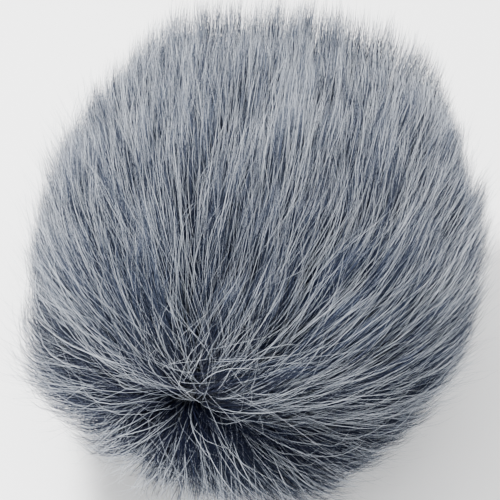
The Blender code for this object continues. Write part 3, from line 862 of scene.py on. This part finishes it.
# ---------------------------------------------------------------- fabric, foam, plastic and metal
class Look:
    """A material in the making, with its place in object coordinates and short ways to add nodes."""

    def __init__(self, name):
        self.material, self.nodes, self.links = new_material(name)
        coord = self.nodes.new("ShaderNodeTexCoord")
        parts = self.nodes.new("ShaderNodeSeparateXYZ")
        self.links.new(coord.outputs["Object"], parts.inputs[0])
        self.place = coord.outputs["Object"]
        self.x, self.y, self.z = parts.outputs["X"], parts.outputs["Y"], parts.outputs["Z"]

    def reckon(self, operation, *values):
        node = self.nodes.new("ShaderNodeMath")
        node.operation = operation
        for socket, value in zip(node.inputs, values):
            if isinstance(value, (int, float)):
                socket.default_value = value
            else:
                self.links.new(value, socket)
        return node.outputs[0]

    def share(self, first, weight, second):
        """weight of the first and the rest of the second."""
        return self.reckon("MULTIPLY_ADD", first, weight, self.reckon("MULTIPLY", second, 1 - weight))

    def noise(self, scale, detail=4.0):
        node = self.nodes.new("ShaderNodeTexNoise")
        node.inputs["Scale"].default_value = scale
        node.inputs["Detail"].default_value = detail
        self.links.new(self.place, node.inputs["Vector"])
        return node.outputs["Fac"]

    def cells(self, scale, feature="F1", randomness=1.0):
        node = self.nodes.new("ShaderNodeTexVoronoi")
        node.feature = feature
        node.inputs["Scale"].default_value = scale
        node.inputs["Randomness"].default_value = randomness
        self.links.new(self.place, node.inputs["Vector"])
        return node.outputs["Distance"]

    def round_axis(self, radius):
        """The length round the muff's axis, at one radius."""
        turn = self.reckon("ARCTAN2", self.x, self.reckon("SUBTRACT", self.z, float(AXIS_Z)))
        return self.reckon("MULTIPLY", turn, radius)

    def ribs(self, value, pitch):
        """A smooth ridge every pitch of the value, from 0 to 1."""
        wave = self.reckon("SINE", self.reckon("MULTIPLY", value, math.tau / pitch))
        return self.reckon("MULTIPLY_ADD", wave, 0.5, 0.5)

    def finish(self, factor, stops, height, depth, roughness, **uniform):
        """Colours the factor by the stops, raises the height as a bump, and sets uniform values."""
        shader = self.nodes["Principled BSDF"]
        colour = ramp(self.nodes, stops)
        self.links.new(factor, colour.inputs[0])
        self.links.new(colour.outputs[0], shader.inputs["Base Color"])
        bump = self.nodes.new("ShaderNodeBump")
        bump.inputs["Strength"].default_value = uniform.get("strength", 1.0)
        bump.inputs["Distance"].default_value = depth
        self.links.new(height, bump.inputs["Height"])
        self.links.new(bump.outputs["Normal"], shader.inputs["Normal"])
        shader.inputs["Roughness"].default_value = roughness
        shader.inputs["Specular IOR Level"].default_value = uniform.get("specular", 0.3)
        shader.inputs["Metallic"].default_value = uniform.get("metallic", 0.0)
        shader.inputs["Sheen Weight"].default_value = uniform.get("sheen", 0.0)
        return self.material


def knit_material(name, dark, light, pitch, radius, depth, roughness, sheen):
    """A jersey face: columns of small loops round the muff's axis."""
    look = Look(name)
    turn = look.round_axis(radius)
    slope = look.reckon("PINGPONG", turn, pitch / 2)
    row = look.ribs(look.reckon("ADD", look.y, slope), pitch * 0.8)
    open_row = look.reckon("MULTIPLY_ADD", row, 0.6, 0.4)
    loop = look.reckon("MULTIPLY", look.ribs(turn, pitch), open_row)
    # The colour is darker between the loops, where the bump is low: painted shade in the grooves, mixed
    # with a noise of tone.
    factor = look.share(look.noise(90), 0.6, loop)
    stops = [(0.15, dark), (0.85, light)]
    return look.finish(factor, stops, loop, depth, roughness, specular=0.15, sheen=sheen, strength=0.8)


def backing_material():
    # The backing's near-black colour is partly its own and partly painted shade, seen down in the gaps of
    # the pile.
    return knit_material(
        "knitted_backing", dark=(0.006, 0.008, 0.013), light=(0.016, 0.019, 0.028),
        pitch=0.9 * MM, radius=34 * MM, depth=0.2 * MM, roughness=0.9, sheen=0.2,
    )


def neoprene_material():
    return knit_material(
        "jersey_neoprene", dark=(0.006, 0.006, 0.007), light=(0.016, 0.0165, 0.019),
        pitch=0.62 * MM, radius=27 * MM, depth=0.12 * MM, roughness=0.85, sheen=0.05,
    )


def mesh_material():
    """Warp-knitted acoustic mesh: open cells with rounded bars between them."""
    look = Look("acoustic_mesh")
    edge = look.cells(520, "DISTANCE_TO_EDGE", 0.25)
    bars = look.reckon("SUBTRACT", 1.0, look.reckon("MINIMUM", look.reckon("MULTIPLY", edge, 3.2), 1.0))
    # The open cells, low in the bump, are darker than the bars: painted shade in the cells, mixed with a
    # noise of tone.
    factor = look.share(look.noise(120), 0.25, bars)
    stops = [(0.1, (0.004, 0.004, 0.005)), (0.9, (0.030, 0.031, 0.036))]
    return look.finish(factor, stops, bars, 0.35 * MM, 0.75, specular=0.25, sheen=0.3, strength=0.9)


def foam_material():
    look = Look("open_cell_foam")
    cells = look.cells(1500)
    # The pits in the middle of the cells, low in the bump, are darker: painted shade in the pores, mixed
    # with a noise of tone.
    factor = look.share(look.noise(60), 0.4, cells)
    stops = [(0.1, (0.006, 0.006, 0.007)), (0.9, (0.035, 0.035, 0.038))]
    return look.finish(factor, stops, cells, 0.3 * MM, 0.95, specular=0.1)


def tape_material():
    """Grosgrain tape: fine ribs across it."""
    look = Look("grosgrain_tape")
    rib = look.ribs(look.round_axis(24 * MM), 0.7 * MM)
    # Darker between the ribs, where the bump is low: painted shade in the grooves, mixed with a noise of
    # tone.
    factor = look.share(look.noise(300), 0.5, rib)
    stops = [(0.2, (0.010, 0.011, 0.014)), (0.9, (0.038, 0.040, 0.048))]
    return look.finish(factor, stops, rib, 0.2 * MM, 0.7, sheen=0.2)


def cord_material():
    """A braided sheath: two sets of yarns cross round each strand of the cord."""
    look = Look("braided_cord")
    off = look.reckon("ABSOLUTE", look.reckon("SUBTRACT", look.z, float(EXIT_Z)))
    turn = look.reckon("ARCTAN2", look.x, look.reckon("SUBTRACT", off, 1.05 * MM))
    yarn = look.reckon("MULTIPLY", turn, 4.0)
    run = look.reckon("MULTIPLY", look.y, math.tau / (1.1 * MM))
    left = look.reckon("SINE", look.reckon("ADD", run, yarn))
    right = look.reckon("SINE", look.reckon("SUBTRACT", run, yarn))
    braid = look.reckon("MULTIPLY_ADD", look.reckon("MULTIPLY", left, right), 0.5, 0.5)
    # Darker between the yarns, where the bump is low: painted shade in the braid's grooves, mixed with a
    # noise of tone.
    factor = look.share(look.noise(2500, 2.0), 0.35, braid)
    stops = [(0.2, (0.006, 0.006, 0.008)), (0.9, (0.045, 0.047, 0.054))]
    return look.finish(factor, stops, braid, 0.25 * MM, 0.6, specular=0.35, sheen=0.2)


def thread_material():
    look = Look("sewing_thread")
    along = look.reckon("ADD", look.reckon("ADD", look.x, look.z), look.reckon("MULTIPLY", look.y, 2.0))
    twist = look.ribs(along, 0.32 * MM)
    # Darker in the grooves of the twist, where the bump is low: painted shade.
    stops = [(0.0, (0.09, 0.10, 0.115)), (1.0, (0.20, 0.215, 0.24))]
    return look.finish(twist, stops, twist, 0.12 * MM, 0.55, specular=0.35, sheen=0.2)


def plastic_material():
    """Spark-eroded moulded nylon: a fine even grain, a little rubbed."""
    look = Look("moulded_nylon")
    stops = [(0.3, (0.012, 0.012, 0.013)), (0.7, (0.022, 0.022, 0.024))]
    grain = look.noise(5200, 3.0)
    return look.finish(look.noise(260), stops, grain, 0.05 * MM, 0.42, specular=0.4, strength=0.5)


def metal_material(name, dark, light, roughness):
    look = Look(name)
    stops = [(0.3, dark), (0.7, light)]
    shine = dict(specular=0.5, metallic=1.0, strength=0.35)
    return look.finish(look.noise(420), stops, look.noise(3600, 3.0), 0.02 * MM, roughness, **shine)


def dress(node, material):
    """Gives a carried-over CAD piece its material, leaving its mesh as it is."""
    obj = bpy.data.objects[node]
    if not obj.material_slots:
        obj.data.materials.append(material)
    for slot in obj.material_slots:
        slot.link = "OBJECT"
        slot.material = material


def press_spring():
    """Gives the coil its own copy of its mesh, which is left as it is."""
    spring = bpy.data.objects["cord_lock_spring"]
    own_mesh(spring)


# ---------------------------------------------------------------- stage, light and camera
def make_stage():
    bpy.ops.mesh.primitive_plane_add(size=8)
    floor = bpy.context.object
    floor.name = "floor"
    material, nodes, links = new_material("pale_floor")
    nodes["Principled BSDF"].inputs["Base Color"].default_value = (0.93, 0.93, 0.93, 1)
    nodes["Principled BSDF"].inputs["Roughness"].default_value = 0.9
    nodes["Principled BSDF"].inputs["Specular IOR Level"].default_value = 0.1
    floor.data.materials.append(material)


def add_light(name, place, target, size, power):
    data = bpy.data.lights.new(name, "AREA")
    data.shape = "DISK"
    data.size = size
    data.energy = power
    light = bpy.data.objects.new(name, data)
    light.location = place
    light.rotation_euler = (Vector(target) - Vector(place)).to_track_quat("-Z", "Y").to_euler()
    bpy.context.scene.collection.objects.link(light)


DOME_STRENGTH = 2.85


def make_lights():
    world = bpy.data.worlds.new("studio")
    bpy.context.scene.world = world
    world.use_nodes = True
    nodes, links = world.node_tree.nodes, world.node_tree.links
    coord = nodes.new("ShaderNodeTexCoord")
    parts = nodes.new("ShaderNodeSeparateXYZ")
    links.new(coord.outputs["Generated"], parts.inputs[0])
    dome = ramp(nodes, [(0.0, (0.32, 0.32, 0.32)), (0.35, (0.5, 0.5, 0.5)), (1.0, (1, 1, 1))])
    links.new(parts.outputs["Z"], dome.inputs[0])
    links.new(dome.outputs[0], nodes["Background"].inputs["Color"])
    nodes["Background"].inputs["Strength"].default_value = DOME_STRENGTH
    centre = (0, 0, AXIS_Z)
    add_light("key", place=(-0.3, 0.0, 0.86), target=centre, size=0.2, power=23.0)
    add_light("front", place=(-0.05, -0.9, 0.10), target=(0, -0.04, 0.02), size=0.5, power=7.0)


CAMERA_AZIMUTH = math.radians(10)
CAMERA_ELEVATION = math.radians(42.5)
CAMERA_ROLL = math.radians(2.9)
CAMERA_DISTANCE = 0.737
CAMERA_LENS = 195.8
CAMERA_AIM = (0.3 * MM, 11.5 * MM)  # right of and above the middle of the muff's widest section


def make_camera():
    sin, cos = math.sin, math.cos
    back = Vector((
        sin(CAMERA_AZIMUTH) * cos(CAMERA_ELEVATION),
        -cos(CAMERA_AZIMUTH) * cos(CAMERA_ELEVATION),
        sin(CAMERA_ELEVATION),
    ))
    right = Vector((cos(CAMERA_AZIMUTH), sin(CAMERA_AZIMUTH), 0))
    up = back.cross(right)
    centre = Vector((0, 0, AXIS_Z)) + right * CAMERA_AIM[0] + up * CAMERA_AIM[1]
    data = bpy.data.cameras.new("camera")
    data.lens = CAMERA_LENS
    data.clip_start = 0.01
    camera = bpy.data.objects.new("camera", data)
    camera.location = centre + back * CAMERA_DISTANCE
    turn = (-back).to_track_quat("-Z", "Y") @ Quaternion((0, 0, 1), -CAMERA_ROLL)
    camera.rotation_euler = turn.to_euler()
    bpy.context.scene.collection.objects.link(camera)
    bpy.context.scene.camera = camera


def main():
    make_camera()
    make_lights()
    make_stage()
    plastic = plastic_material()
    tape = tape_material()
    make_layers({"backing": backing_material(), "foam": foam_material(), "lining": mesh_material()})
    make_cuff(neoprene_material())
    make_stitches(thread_material())
    dress("crown_seam_tape", tape)
    dress("mouth_binding", tape)
    dress("drawcord", cord_material())
    nickel = metal_material("nickel_plate", (0.46, 0.455, 0.44), (0.56, 0.555, 0.54), 0.28)
    wire = metal_material("spring_wire", (0.50, 0.50, 0.50), (0.62, 0.62, 0.62), 0.22)
    dress("eyelet", nickel)
    dress("cord_lock_spring", wire)
    for node in ("cord_lock_body", "cord_lock_plunger", "cord_end"):
        dress(node, plastic)
    press_spring()
    pile, guard = make_pile_materials()
    make_pile(pile, guard)


main()
